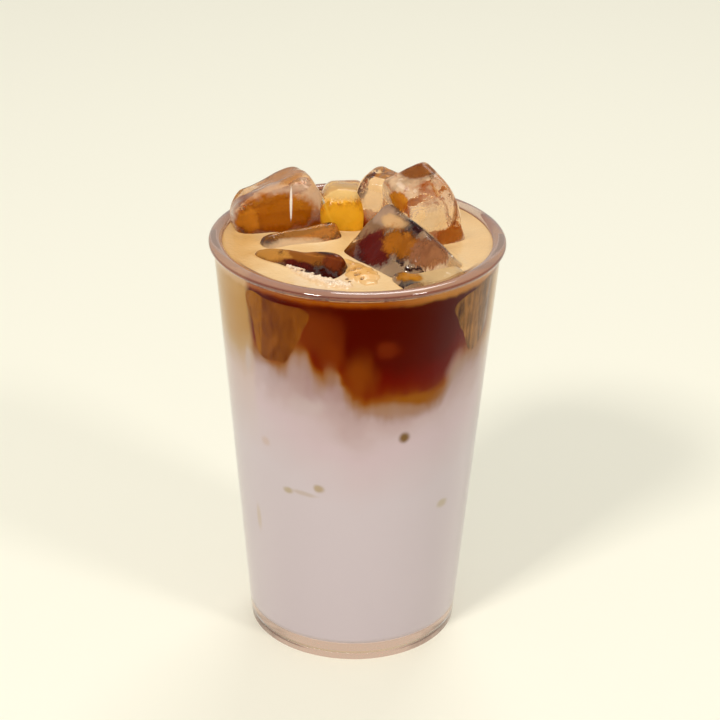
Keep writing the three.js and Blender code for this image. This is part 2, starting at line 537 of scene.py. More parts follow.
@dataclass(frozen=True)
class IceFinish:
    """Clear wet ice with soft patches on it: coffee and frost that cling to it, and painted light.

    Ragged and strands are the size, detail and swing of the patterns that break up a patch's edge.
    """

    name: str
    stains_and_light: tuple[StainOrLight, ...] = ()
    tint: Colour = colour(253, 250, 244)
    bend: float = 1.31
    roughness: float = 0.02
    dimple: Pair = (5.0, 3.0)
    relief: float = 0.12
    mirror: float = 0.35
    ragged: Triple = (3.4, 4.0, 0.24)
    strands: Triple = (1.1, 3.0, 1.0)
    strand_stretch: Triple = (1.6, 1.6, 0.3)
    tone_edge: Pair = (1.45, 1.0)
    cover_edge: Pair = (1.4, 0.5)

    def material(self) -> bpy.types.Material:
        """The ice with its patches.

        Returns:
            The material.
        """
        tree = Tree(self.name)
        place = tree.place()
        relief = tree.bump(tree.noise(place, *self.dimple), self.relief)
        tone: object = self.tint
        clear: object = 1.0
        if self.stains_and_light:
            ragged = tree.noise(place, *self.ragged)
            strands = tree.noise(tree.scaled(place, self.strand_stretch), *self.strands)
            for stain_or_light in self.stains_and_light:
                away = self.away(tree, place, stain_or_light, ragged, strands)
                tone = tree.mix(tree.span(away, *self.tone_edge), tone, stain_or_light.tone)
                cover = tree.span(away, *self.cover_edge, 0.0, stain_or_light.strength)
                clear = tree.math("MULTIPLY", clear, tree.math("SUBTRACT", 1.0, cover))
        return tree.clear(clear, Base_Color=tone, Roughness=self.roughness, IOR=self.bend,
                          Specular_Tint=(self.mirror,) * 3, Normal=relief)

    def away(self, tree: Tree, place: Socket, stain_or_light: StainOrLight, ragged: Socket, strands: Socket) -> Socket:
        """How far each place is from a patch's middle, as a share of the patch's reach.

        Args:
            tree: The material's nodes.
            place: Place in millimetres.
            stain_or_light: The patch.
            ragged: Unevenness of its edge.
            strands: Fine upright grain that breaks it up.

        Returns:
            The distance: below 1 inside the patch.
        """
        turn = (0.0, 0.0, math.radians(stain_or_light.turn))
        local = tree.add("Mapping", {"Vector": place, "Location": stain_or_light.centre, "Rotation": turn,
                                     "Scale": stain_or_light.reach}, vector_type="TEXTURE")
        away = tree.math("ADD", tree.distance(local.outputs[0], (0.0, 0.0, 0.0)), ragged)
        if stain_or_light.grain > 0:
            away = tree.math("ADD", away, tree.math("MULTIPLY", strands, stain_or_light.grain))
        return away


@dataclass
class IceBlock:
    """One block of ice with rounded edges and crowned faces.

    Size is width, depth and height. Turn, roll and lean are degrees about Z, X and Y. A higher melt
    leaves sharper edges, and narrowing draws the block in towards its top. Broad and fine are the
    sizes of the dents, and the seed moves them.
    """

    node: str
    size: Triple
    at: Triple
    turn: float
    roll: float
    lean: float
    narrowing: float
    melt: float
    finish: IceFinish = field(default_factory=lambda: IceFinish("wet_ice"))
    seed: int = 0
    cuts: int = 33
    unevenness: float = 0.45
    melted: float = 0.3
    dents: float = 0.28
    broad: float = 5.5
    fine: float = 2.1
    fine_share: float = 0.25
    seed_step: Pair = (13.7, 5.1)

    def place(self) -> Matrix:
        """Turns the block and puts it in its place.

        Returns:
            The move from the block's own frame.
        """
        turn = Matrix.Rotation(math.radians(self.turn), 4, "Z")
        lean = Matrix.Rotation(math.radians(self.lean), 4, "Y")
        roll = Matrix.Rotation(math.radians(self.roll), 4, "X")
        return Matrix.Translation(self.at) @ turn @ lean @ roll

    def melted_point(self, p: Vector, grown: float) -> Vector:
        """Moves a point of a plain cube to where the ice has melted to.

        Args:
            p: The point, between -1 and 1 on each axis.
            grown: How far the block's surface moves outwards.

        Returns:
            The point in the block's own frame.
        """
        width, depth, height = self.size
        power = sum(abs(part) ** self.melt for part in p)
        p = p * power ** (-1 / self.melt)
        narrow = 1 - self.narrowing * (0.5 + 0.5 * p.z)
        q = Vector((p.x * 0.5 * width * narrow, p.y * 0.5 * depth * narrow, p.z * 0.5 * height))
        uneven = self.unevenness * ripple(2 * q.x, 2 * q.y, 2 * q.z, self.seed)
        shift = Vector((self.seed * self.seed_step[0], self.seed * self.seed_step[1], 0))
        broad = noise.noise(q / self.broad + shift)
        fine = noise.noise(q / self.fine + shift)
        dent = self.melted - self.dents * broad - self.fine_share * self.dents * fine
        return q.normalized() * (q.length + uneven + grown - dent)

    def body(self, grown: float) -> bpy.types.Object:
        """The block as a closed solid, untrimmed.

        Args:
            grown: How far its surface is moved outwards, or inwards below zero.

        Returns:
            The solid.
        """
        bm = bmesh.new()
        bmesh.ops.create_cube(bm, size=2)
        bmesh.ops.subdivide_edges(bm, edges=bm.edges, cuts=self.cuts, use_grid_fill=True)
        for vert in bm.verts:
            vert.co = self.melted_point(vert.co, grown)
        bmesh.ops.transform(bm, matrix=self.place(), verts=bm.verts)
        return finished(self.node + "_body", bm)


@dataclass
class IceHeap:
    """The eight pieces of ice that stand above the drink, each giving way to the ones before it."""

    glass: Glass
    wall_clearance: float = 0.4
    contact: float = 0.12
    soak: float = 0.14
    blocks: list[IceBlock] = field(default_factory=lambda: [
        # Some of the patches on each piece are painted light: the lit drink under the ice, seen through it.
        IceBlock("ice_wedge", (25, 15, 16), (-15.8, -1, 117), 25, 32, -3, 0, 9, IceFinish("ice_tan", (
            StainOrLight((-13.5, -2.2, 126.0), (12, 5, 2.2), colour(190, 126, 58), 0.6, 15, 0.2),
            StainOrLight((-11, -4, 125.6), (5, 3, 0.5), colour(112, 66, 40), 0.6, 15, 0.15),
            StainOrLight((-18.5, -6, 124.0), (9, 4, 1.3), colour(218, 178, 134), 0.85, 15),
        ))),
        IceBlock("ice_front_left", (29.5, 14.5, 15), (-16, -18.6, 118), -27, 38, -8, 0, 7,
                 IceFinish("ice_olive", (
                     StainOrLight((-15, -19, 127), (10, 5, 2.6), colour(160, 92, 28), 0.72, -27, 0.2),
                     StainOrLight((-25.5, -15.4, 125.4), (6, 4, 1.7), colour(206, 142, 62), 0.75, -27, 0.1),
                     StainOrLight((-14, -18.6, 129), (8, 3, 0.8), colour(92, 54, 40), 0.6, -27, 0.15),
                     StainOrLight((-11.5, -23, 124.5), (9, 2.4, 1.0), colour(88, 20, 6), 0.85, -30, 0.1),
                     StainOrLight((-5.4, -24.6, 127), (3, 4, 2.6), colour(120, 50, 16), 0.7, -35, 0.2),
                 ))),
        IceBlock("ice_left", (29, 18, 28.5), (-22, 13.2, 122.1), 20, -12, -21, 0.08, 7,
                 IceFinish("ice_amber", (
                     StainOrLight((-24, 16, 136.9), (12, 9, 3), colour(178, 122, 74), 0.68, 20),
                     StainOrLight((-25, 7, 134.5), (11, 5, 2.4), colour(204, 166, 138), 0.5, 12),
                     StainOrLight((-13, 8.5, 131.9), (3.4, 5, 5.5), colour(212, 176, 146), 0.6, 12),
                     StainOrLight((-36.4, 6, 128.9), (3, 6, 5.5), colour(228, 200, 176), 0.5),
                     # Painted glow: the amber of the lit coffee seen through the front face.
                     StainOrLight((-23.2, 5.4, 129.2), (9.6, 6, 4.8), colour(168, 90, 6), 0.88, 12, 0.04),
                     StainOrLight((-31.6, 3.4, 127.4), (2.8, 5, 3.4), colour(192, 114, 24), 0.7, 12, 0.05),
                     # Painted highlight: a thin white streak down the crease of the front face.
                     StainOrLight((-19.4, 7, 131.9), (0.3, 4, 4.2), colour(255, 244, 230), 0.8),
                 ))),
        IceBlock("ice_right", (20, 22.5, 30), (18.6, 3.2, 128.8), 25, 18, -17, 0.19, 8,
                 IceFinish("ice_clear_amber", (
                     StainOrLight((11.5, -6.8, 138.4), (2.0, 4, 2.6), colour(190, 112, 14), 0.65, 25, 0.2),
                     StainOrLight((16.5, 2.0, 144.2), (5.5, 4, 1.3), colour(134, 74, 26), 0.6, 25, 0.1),
                     StainOrLight((26.2, -1.5, 134.5), (0.9, 5, 7.5), colour(146, 84, 44), 0.6, 25, 0.1),
                     StainOrLight((20.4, -6.4, 134.4), (5.5, 4, 5.5), colour(248, 224, 186), 0.45, 25, 0.1),
                     StainOrLight((26.6, -3.4, 126.6), (4.6, 4, 2.8), colour(176, 102, 30), 0.7, 25, 0.2),
                 ))),
        IceBlock("ice_front_right", (27.5, 28.5, 27), (13.8, -12.5, 117.8), 37.5, 9, 44.3, 0, 10,
                 IceFinish("ice_frosted", (
                     StainOrLight((4.3, -9.5, 132), (6, 6, 5.5), colour(168, 124, 86), 0.6, 37, 0.12),
                     StainOrLight((7.9, -8, 135), (4, 5, 2.6), colour(186, 148, 118), 0.7, 37),
                     StainOrLight((4.9, -16.2, 128), (5.4, 6, 4.6), colour(92, 12, 4), 0.88, 37, 0.12),
                     StainOrLight((10.5, -12.9, 134.4), (4.8, 2.4, 1.5), colour(214, 168, 116), 0.8, -45, 0.06),
                     StainOrLight((12.9, -20.5, 130.6), (3.0, 7, 5.4), colour(170, 96, 14), 0.72, 37, 0.2),
                     StainOrLight((19.9, -25.9, 131), (6.4, 4, 4), colour(152, 96, 62), 0.6, 37, 0.35),
                     StainOrLight((28.5, -19.5, 125), (4, 6, 3), colour(224, 188, 140), 0.65, 37, 0.15),
                 ))),
        IceBlock("ice_middle", (17, 21, 27), (6, 14.4, 125.4), -24, -6, 8, 0.3, 6,
                 IceFinish("ice_cream", (
                     StainOrLight((4.2, 7.7, 132.4), (3.4, 5, 5), colour(240, 208, 166), 0.45, 0, 0.06),
                 ))),
        IceBlock("ice_back", (18.5, 24, 26), (-4.3, 15.6, 121.9), -1, -4, 2, 0.22, 4,
                 IceFinish("ice_orange", (
                     StainOrLight((-4.6, 11.1, 135.6), (9, 9, 4), colour(238, 200, 128), 0.55, 0, 0.12),
                     # Painted glow: the lit orange drink seen through the lower part.
                     StainOrLight((-3.4, 6.1, 127.8), (9, 6, 4.4), colour(246, 176, 38), 0.8, 0, 0.1),
                 ))),
        IceBlock("ice_rim", (22, 11, 18), (20.7, -27.9, 116.6), 28, 4, 2, 0, 8, IceFinish("ice_pale", (
            StainOrLight((22.9, -27.3, 125.2), (10, 6, 2.6), colour(236, 198, 142), 0.75, 28, 0.1),
            StainOrLight((14.5, -30.5, 125.6), (3, 3, 1.4), colour(196, 124, 18), 0.75),
        ))),
    ])
    hollows: list[bpy.types.Object] = field(default_factory=list)

    def build(self) -> None:
        """Makes the ice and, for the drink, the hollows that it lies in."""
        inside = self.glass.inside(self.wall_clearance)
        deeper = self.glass.inside(self.wall_clearance + self.soak)
        earlier: list[bpy.types.Object] = []
        for seed, block in enumerate(self.blocks):
            block.seed = seed
            piece = block.body(0.0)
            piece.name = block.node.replace("ice", "ice_piece")
            carve(piece, Cut.KEEP_INSIDE, [inside])
            if earlier:
                carve(piece, Cut.TAKE_AWAY, earlier)
            mount(piece, "ice", [block.finish.material()], [block.node])
            earlier.append(block.body(self.contact))
            hollow = block.body(-self.soak)
            carve(hollow, Cut.KEEP_INSIDE, [deeper])
            self.hollows.append(hollow)
        discard([inside, deeper, *earlier])


@dataclass(frozen=True)
class Mark:
    """A soft mark in the drink where it meets the wall.

    It lies at an angle round the glass and a height, with half its width in degrees and half its
    height in millimetres.
    """

    angle: float
    height: float
    width: float
    tall: float
    tone: Colour
    strength: float
    warped: float = 1.0


@dataclass(frozen=True)
class Glow:
    """Where light gathers in the drink under a piece of ice: full up to near, gone beyond far."""

    centre: Triple
    far: float
    near: float
    tone: Colour
    strength: float


@dataclass(frozen=True)
class DrinkFinish:
    """Milk, coffee and foam as one run of colour, so that no seam shows between the layers.

    The line between milk and coffee is a height for each angle round the glass, measured from +X.
    Patterns are given by size, detail and swing, edges by where they start and end.
    """

    name: str
    level: float
    glass: Glass
    roughness: float = 0.6
    wall_skin: Pair = (-1.3, -0.5)
    # Painted glow: the milk's underside gives off light in this tone, standing in for light carried through
    # the milk, fainter towards the sides.
    underside_glow: float = 0.8
    underside_glow_tone: Colour = colour(222, 196, 172)
    underside_glow_height: float = 0.7
    underside_glow_sides: Pair = (23.0, 11.0)
    underside_glow_least: float = 0.3
    underside_glow_clouds: Triple = (5.0, 2.0, 3.0)
    drift: Triple = (9.0, 3.0, 1.6)
    drift_along: float = 0.8
    drift_up: float = 0.7
    drift_milk: float = 1.6
    strands: Triple = (3.2, 3.0, 1.3)
    strand_stretch: Triple = (1.0, 1.0, 0.22)
    strands_at_rim: float = 0.35
    mark_warp: float = 1.6
    mark_edge: Pair = (1.25, 0.35)
    core_clouds: Triple = (5.0, 3.0, 1.4)
    coffee_edge: Pair = (-8.0, -2.5)
    left_edges: tuple[Pair, Pair] = ((-137.5, -142.0), (150.0, 170.0))
    right_edges: tuple[Pair, Pair] = ((-24.0, -12.0), (70.0, 30.0))
    rim_edge: Pair = (118.8, 120.4)
    # Painted light: a lighter orange stretch at the front of the band under the rim.
    lit_edges: tuple[Pair, Pair] = ((-82.0, -52.0), (-14.0, -26.0))
    lit_share: float = 0.7
    lit_tone: Colour = colour(196, 134, 60)
    left_rim_tone: Colour = colour(206, 164, 116)
    line: tuple[Pair, ...] = (
        (-180, 99.8), (-165, 100.3), (-150, 98.8), (-143, 100.8), (-135, 101.3), (-128, 99.3),
        (-122, 100.3), (-119, 102.2), (-116, 105.6), (-112.5, 105), (-109, 100.4), (-105, 97),
        (-102, 100.2), (-99.5, 100.6), (-96, 95.8), (-91, 90.9), (-84, 89.4), (-75, 89.4), (-62, 89.4),
        (-52, 90.4), (-46, 93.8), (-41, 97.8), (-32, 99.8), (-10, 100.3), (20, 96.8), (60, 94.8),
        (95, 98.3), (130, 95.8), (160, 100.8), (180, 99.8),
    )
    glows: tuple[Glow, ...] = (
        Glow((-17, -0.7, 113), 13, 8, colour(176, 122, 70), 0.7),
        Glow((-16.9, -20.8, 113), 11, 7, colour(120, 74, 30), 0.6),
        Glow((-22, 11, 112.9), 21, 14, colour(168, 92, 6), 0.9),
        Glow((18.6, 3.2, 117.8), 17, 11.5, colour(238, 206, 166), 0.95),
        Glow((26, -1.8, 118.8), 7, 3, colour(190, 112, 24), 0.85),
        Glow((-5, 14.1, 112.9), 14, 10, colour(236, 160, 14), 1.0),
        Glow((21.9, -27.3, 113), 9, 6, colour(206, 166, 118), 0.8),
    )
    dip_angle: float = -88.0
    dip_slopes: Pair = (-0.3, 0.14)
    dip_most: float = 14.0
    line_low: float = 85.0
    line_high: float = 115.0
    marks: tuple[Mark, ...] = (
        Mark(-88, 97.8, 7.5, 8, colour(128, 58, 8), 0.85),
        Mark(-76, 106.3, 6, 3, colour(118, 40, 8), 0.6),
        Mark(-62, 89.8, 14, 2.1, colour(142, 80, 8), 0.9),
        Mark(-98, 109.8, 5, 7, colour(110, 40, 5), 0.6),
        Mark(-108, 111.5, 10, 8, colour(116, 44, 6), 0.85),
        Mark(-100, 104.5, 7, 5.5, colour(116, 44, 5), 0.8),
        Mark(-143, 96.5, 3, 5, colour(186, 172, 172), 0.5),
        Mark(-54, 95.5, 6, 5, colour(96, 8, 1), 0.5),
        Mark(-40, 94.5, 7, 6, colour(168, 142, 134), 0.6),
        Mark(-101, 97.4, 3.2, 5, colour(142, 96, 66), 0.6),
        Mark(-131, 93.8, 9, 4.5, colour(180, 158, 160), 0.55),
        Mark(-116, 95.8, 5, 7, colour(176, 148, 144), 0.6),
        Mark(-112, 86.9, 9, 4, colour(196, 178, 178), 0.5),
        Mark(-72, 86.5, 16, 2.6, colour(158, 120, 96), 0.6),
        Mark(-67.0, 76.9, 3.1, 2.1, colour(118, 86, 40), 0.95, 0.3),
        Mark(-107, 60, 3, 1.4, colour(170, 146, 104), 0.75, 0.3),
        Mark(-123.5, 56.6, 2.8, 1.2, colour(172, 152, 112), 0.7, 0.3),
        Mark(-115, 57.1, 8, 0.9, colour(182, 160, 140), 0.5, 0.3),
        Mark(-41, 49.7, 4.2, 1.6, colour(178, 160, 122), 0.6, 0.3),
        Mark(-146, 42.4, 2.2, 5, colour(192, 170, 142), 0.5, 0.3),
        Mark(-135.5, 71.3, 3.2, 1.6, colour(194, 166, 150), 0.5, 0.3),
    )
    coffee_run: Run = (
        (-44, colour(203, 190, 195)), (-24, colour(199, 182, 184)), (-13, colour(186, 160, 158)),
        (-6, colour(164, 134, 124)), (-2.5, colour(154, 114, 92)), (-1, colour(146, 98, 60)),
        (0.6, colour(136, 70, 16)), (3, colour(112, 32, 3)), (6, colour(96, 9, 1)),
        (12, colour(78, 7, 1)), (22, colour(72, 5, 0)),
    )
    milk_run: Run = (
        (52, colour(203, 190, 195)), (62, colour(202, 185, 189)), (70, colour(201, 180, 185)),
        (74, colour(197, 176, 179)), (79, colour(187, 162, 162)), (83, colour(179, 153, 152)),
        (88.5, colour(163, 131, 128)), (92, colour(152, 118, 110)), (98, colour(146, 106, 84)),
        (104, colour(140, 92, 62)),
    )
    pale_run: Run = (
        (-34, colour(203, 190, 195)), (-10, colour(200, 178, 174)), (-4, colour(188, 160, 142)),
        (0, colour(180, 144, 102)), (5, colour(176, 132, 76)), (14, colour(178, 132, 70)),
        (22, colour(192, 148, 92)),
    )
    # Its bright orange stops are painted light, shining through the edge of the foam.
    rim_run: Run = (
        (119.0, colour(92, 12, 2)), (120.4, colour(140, 58, 3)), (121.3, colour(166, 86, 4)),
        (122.2, colour(150, 66, 4)), (122.7, colour(112, 30, 6)), (123.4, colour(100, 46, 34)),
        (123.9, colour(140, 98, 80)),
    )
    core_run: Run = (
        (-1, colour(226, 160, 84)), (0.6, colour(206, 122, 30)), (2.5, colour(176, 88, 8)),
        (5, colour(140, 50, 5)), (7.5, colour(104, 20, 4)), (12, colour(88, 10, 3)),
        (22, colour(78, 8, 2)),
    )

    def build(self) -> bpy.types.Material:
        """The layered drink where it meets the glass and the ice.

        Returns:
            The material.
        """
        tree = Tree(self.name)
        place = tree.place()
        x, y, z = tree.axes(place)
        at_wall = self.wall_tone(tree, place, tree.angle(x, y), z)
        wall = tree.math("MULTIPLY_ADD", z, self.glass.slope, self.glass.inner(0.0))
        edge = tree.math("SUBTRACT", tree.length(x, y), wall)
        tone = tree.mix(tree.span(edge, *self.wall_skin), self.core_tone(tree, place, z), at_wall)
        # Painted glow on the milk's underside, fainter towards the sides.
        aside = tree.math("ADD", tree.math("ABSOLUTE", x), tree.noise(place, *self.underside_glow_clouds))
        aside = tree.span(aside, *self.underside_glow_sides, self.underside_glow_least, 1.0)
        underside_glow = tree.span(z, self.glass.floor + self.underside_glow_height, self.glass.floor, 0.0, self.underside_glow)
        underside_glow = tree.math("MULTIPLY", underside_glow, aside)
        return tree.solid(Base_Color=tone, Roughness=self.roughness, Specular_IOR_Level=0.0,
                          Emission_Color=self.underside_glow_tone, Emission_Strength=underside_glow)

    def wall_tone(self, tree: Tree, place: Socket, angle: Socket, z: Socket) -> Socket:
        """Colour where the drink touches the wall.

        Args:
            tree: The material's nodes.
            place: Place in millimetres.
            angle: Angle round the glass in degrees.
            z: Height in millimetres.

        Returns:
            The colour.
        """
        drift = tree.noise(place, *self.drift)
        strands = tree.noise(tree.scaled(place, self.strand_stretch), *self.strands)
        turn = tree.math("ADD", angle, tree.math("MULTIPLY", drift, self.drift_along))
        depth = tree.math("ADD", z, tree.math("MULTIPLY", drift, self.drift_up))
        depth = tree.math("SUBTRACT", depth, self.line_height(tree, turn))
        depth = tree.math("ADD", depth, strands)
        tone = tree.mix(tree.span(depth, *self.coffee_edge), self.milk_tone(tree, turn, drift, z),
                        tree.ramp(depth, self.coffee_run))
        left = tree.math("MAXIMUM", *(tree.span(turn, *edge) for edge in self.left_edges))
        right = tree.math("MULTIPLY", *(tree.span(turn, *edge) for edge in self.right_edges))
        tone = tree.mix(tree.math("MAXIMUM", left, right), tone, tree.ramp(depth, self.pale_run))
        sideways = tree.math("MULTIPLY", strands, self.mark_warp)
        for mark in self.marks:
            tone = self.marked(tree, tone, mark, angle, z, sideways, drift)
        height = tree.math("MULTIPLY_ADD", strands, self.strands_at_rim, z)
        rim = self.rim_tone(tree, turn, height, left)
        return tree.mix(tree.span(height, *self.rim_edge), tone, rim)

    def milk_tone(self, tree: Tree, turn: Socket, drift: Socket, z: Socket) -> Socket:
        """Colour of the milk at the wall, deeper where coffee sinks into it.

        Args:
            tree: The material's nodes.
            turn: Angle round the glass in degrees.
            drift: Slow unevenness.
            z: Height in millimetres.

        Returns:
            The colour.
        """
        off = tree.math("SUBTRACT", turn, self.dip_angle)
        sides = (tree.math("MULTIPLY", off, slope) for slope in self.dip_slopes)
        aside = tree.math("MINIMUM", tree.math("MAXIMUM", *sides), self.dip_most)
        height = tree.math("MULTIPLY_ADD", drift, self.drift_milk, z)
        return tree.ramp(tree.math("SUBTRACT", height, aside), self.milk_run)

    def rim_tone(self, tree: Tree, turn: Socket, height: Socket, left: Socket) -> Socket:
        """Colour of the band of drink just under the rim, with painted light: an orange band where light
        shines through the edge of the foam, and a lighter painted patch at the front.

        Args:
            tree: The material's nodes.
            turn: Angle round the glass in degrees.
            height: Height in millimetres, made uneven.
            left: Share of the pale left side.

        Returns:
            The colour.
        """
        start, end = self.lit_edges
        lit = tree.math("MULTIPLY", tree.span(turn, *start, 0.0, self.lit_share), tree.span(turn, *end))
        rim = tree.mix(lit, tree.ramp(height, self.rim_run), self.lit_tone)
        return tree.mix(left, rim, self.left_rim_tone)

    def marked(self, tree: Tree, tone: Socket, mark: Mark, angle: Socket, z: Socket, sideways: Socket,
               upwards: Socket) -> Socket:
        """Lays one soft mark over a colour.

        Args:
            tree: The material's nodes.
            tone: The colour so far.
            mark: The mark.
            angle: Angle round the glass in degrees.
            z: Height in millimetres.
            sideways: Unevenness that warps it along the wall.
            upwards: Unevenness that warps it up and down.

        Returns:
            The colour with the mark.
        """
        across = tree.math("MULTIPLY_ADD", sideways, mark.warped, angle)
        up = tree.math("MULTIPLY_ADD", upwards, mark.warped, z)
        across = tree.math("DIVIDE", tree.math("SUBTRACT", across, mark.angle), mark.width)
        up = tree.math("DIVIDE", tree.math("SUBTRACT", up, mark.height), mark.tall)
        share = tree.span(tree.length(across, up), *self.mark_edge, 0.0, mark.strength)
        return tree.mix(share, tone, mark.tone)

    def line_height(self, tree: Tree, angle: Socket) -> Socket:
        """Height of the line between milk and coffee.

        Args:
            tree: The material's nodes.
            angle: Angle round the glass in degrees.

        Returns:
            The height in millimetres.
        """
        share = tree.math("DIVIDE", tree.math("ADD", angle, 180.0), 360.0)
        curve = tree.add("FloatCurve", {"Value": share})
        points = curve.mapping.curves[0].points
        while len(points) < len(self.line):
            points.new(0.5, 0.5)
        rise = self.line_high - self.line_low
        for point, (turn, height) in zip(points, self.line):
            point.location = ((turn + 180) / 360, (height - self.line_low) / rise)
        curve.mapping.update()
        return tree.math("MULTIPLY_ADD", curve.outputs[0], rise, self.line_low)

    def core_tone(self, tree: Tree, place: Socket, z: Socket) -> Socket:
        """Colour of the drink round the ice, away from the wall.

        Args:
            tree: The material's nodes.
            place: Place in millimetres.
            z: Height in millimetres.

        Returns:
            The colour.
        """
        clouds = tree.noise(place, *self.core_clouds)
        depth = tree.math("ADD", tree.math("SUBTRACT", self.level, z), clouds)
        tone = tree.ramp(depth, self.core_run)
        for glow in self.glows:
            away = tree.math("ADD", tree.distance(place, glow.centre), clouds)
            tone = tree.mix(tree.span(away, glow.far, glow.near, 0.0, glow.strength), tone, glow.tone)
        return tone


@dataclass(frozen=True)
class SunkenFinish:
    """Ice pressed against the wall under the drink, lit through from the side.

    One face is bright and the next one dark, and they meet at an angle round the glass, which
    shifts a little with the height. Each face runs between two tones.
    """

    name: str
    meeting: float
    bright: tuple[Colour, Colour]
    dark: tuple[Colour, Colour]
    streak: float
    relief: float
    grain: Triple = (1.3, 3.0, 0.9)
    clouds: Triple = (6.0, 3.0, 0.9)
    middle: float = 110.0
    lean: float = -0.12
    corner: float = 0.6
    roughness: float = 0.5

    def build(self) -> bpy.types.Material:
        """The sunken ice.

        Returns:
            The material.
        """
        tree = Tree(self.name)
        place = tree.place()
        x, y, z = tree.axes(place)
        above = tree.math("SUBTRACT", z, self.middle)
        angle = tree.math("MULTIPLY_ADD", above, self.lean, tree.angle(x, y))
        grain = tree.noise(tree.scaled(place, (1.0, 1.0, self.streak)), *self.grain)
        mix = tree.math("ADD", grain, tree.noise(place, *self.clouds))
        bright, dark = (tree.ramp(mix, ((-1.0, low), (1.0, high))) for low, high in (self.bright, self.dark))
        tone = tree.mix(tree.span(angle, self.meeting - self.corner, self.meeting + self.corner),
                        bright, dark)
        return tree.solid(Base_Color=tone, Roughness=self.roughness, Specular_IOR_Level=0.0,
                          Normal=tree.bump(grain, self.relief))


@dataclass
class SunkenIce:
    """The two pieces of ice that lie under the surface and show through the wall."""

    glass: Glass
    into_wall: float = 0.14
    thickness: float = 3.0
    blocks: list[tuple[IceBlock, SunkenFinish]] = field(default_factory=lambda: [
        (IceBlock("sunken_ice_left", (23.5, 19, 20), (-20, -27, 108.7), 143, 180, -4, 0.6, 5, seed=11,
                   unevenness=0.9, dents=0.8),
         SunkenFinish("sunken_amber", -132.5, (colour(118, 62, 0), colour(156, 92, 8)),
                      (colour(96, 42, 4), colour(134, 72, 16)), 0.3, 0.05)),
        (IceBlock("sunken_ice_right", (21, 21, 20), (29.9, -17.3, 109), 57, 180, -12, 0.62, 5, seed=12,
                   unevenness=0.9, dents=0.8),
         SunkenFinish("sunken_grained", -22.5, (colour(62, 26, 0), colour(168, 112, 50)),
                      (colour(84, 58, 56), colour(164, 132, 112)), 0.16, 0.3)),
    ])

    def build(self, hollows: Sequence[bpy.types.Object]) -> None:
        """Makes both pieces, clear of the ice above them.

        Args:
            hollows: What the ice above them takes up.
        """
        outer = self.glass.inside(-self.into_wall)
        core = self.glass.inside(self.thickness)
        for block, finish in self.blocks:
            piece = block.body(0.0)
            piece.name = block.node
            carve(piece, Cut.KEEP_INSIDE, [outer])
            carve(piece, Cut.TAKE_AWAY, [core, *hollows])
            mount(piece, "ice", [finish.build()])
        discard([outer, core])


@dataclass(frozen=True)
class FoamFinish:
    """The tan skin on top of the drink: smooth and wet, with paler froth in places.

    Froth whitens it round a point, the left side is browner, and a dark ring is painted along the front
    wall, a stand-in for the dark line of refracted drink that the bead shows there.
    """

    name: str = "foam_skin"
    swirl: Triple = (15.0, 3.0, 0.8)
    swirl_stretch: Triple = (1.0, 1.0, 0.2)
    run: Run = ((-1.4, colour(226, 178, 116)), (0.0, colour(238, 197, 138)), (1.4, colour(244, 212, 160)))
    froth_centre: Triple = (-9.0, -29.0, 124.0)
    froth_clouds: Triple = (3.0, 3.0, 3.0)
    froth_edge: Pair = (12.0, 4.0)
    froth_share: float = 0.6
    froth_tone: Colour = colour(244, 216, 180)
    left_drift: float = 4.0
    left_edge: Pair = (-20.0, -36.0)
    left_share: float = 0.8
    left_tone: Colour = colour(216, 164, 92)
    # Painted refraction: a dark ring along the front wall, for the dark line that the bead shows.
    ring_edge: Pair = (37.0, 37.7)
    ring_front: Pair = (-14.0, -24.0)
    ring_tone: Colour = colour(134, 90, 68)
    grain: float = 0.9
    relief: float = 0.03
    roughness: float = 0.22

    def build(self) -> bpy.types.Material:
        """The foam's skin.

        Returns:
            The material.
        """
        tree = Tree(self.name)
        place = tree.place()
        x, y, _ = tree.axes(place)
        swirl = tree.noise(tree.scaled(place, self.swirl_stretch), *self.swirl)
        froth = tree.math("ADD", tree.distance(place, self.froth_centre),
                          tree.noise(place, *self.froth_clouds))
        tone = tree.mix(tree.span(froth, *self.froth_edge, 0.0, self.froth_share),
                        tree.ramp(swirl, self.run), self.froth_tone)
        drifted = tree.math("ADD", x, tree.math("MULTIPLY", swirl, self.left_drift))
        tone = tree.mix(tree.span(drifted, *self.left_edge, 0.0, self.left_share), tone, self.left_tone)
        ring = tree.math("MULTIPLY", tree.span(tree.length(x, y), *self.ring_edge),
                         tree.span(y, *self.ring_front))
        tone = tree.mix(ring, tone, self.ring_tone)
        grain = tree.noise(place, self.grain)
        return tree.solid(Base_Color=tone, Roughness=self.roughness, Specular_IOR_Level=0.5,
                          Normal=tree.bump(grain, self.relief))


@dataclass(frozen=True)
class Pit:
    """A burst bubble: where it is, its radius and how dark it is inside."""

    at: Pair
    radius: float
    dark: float


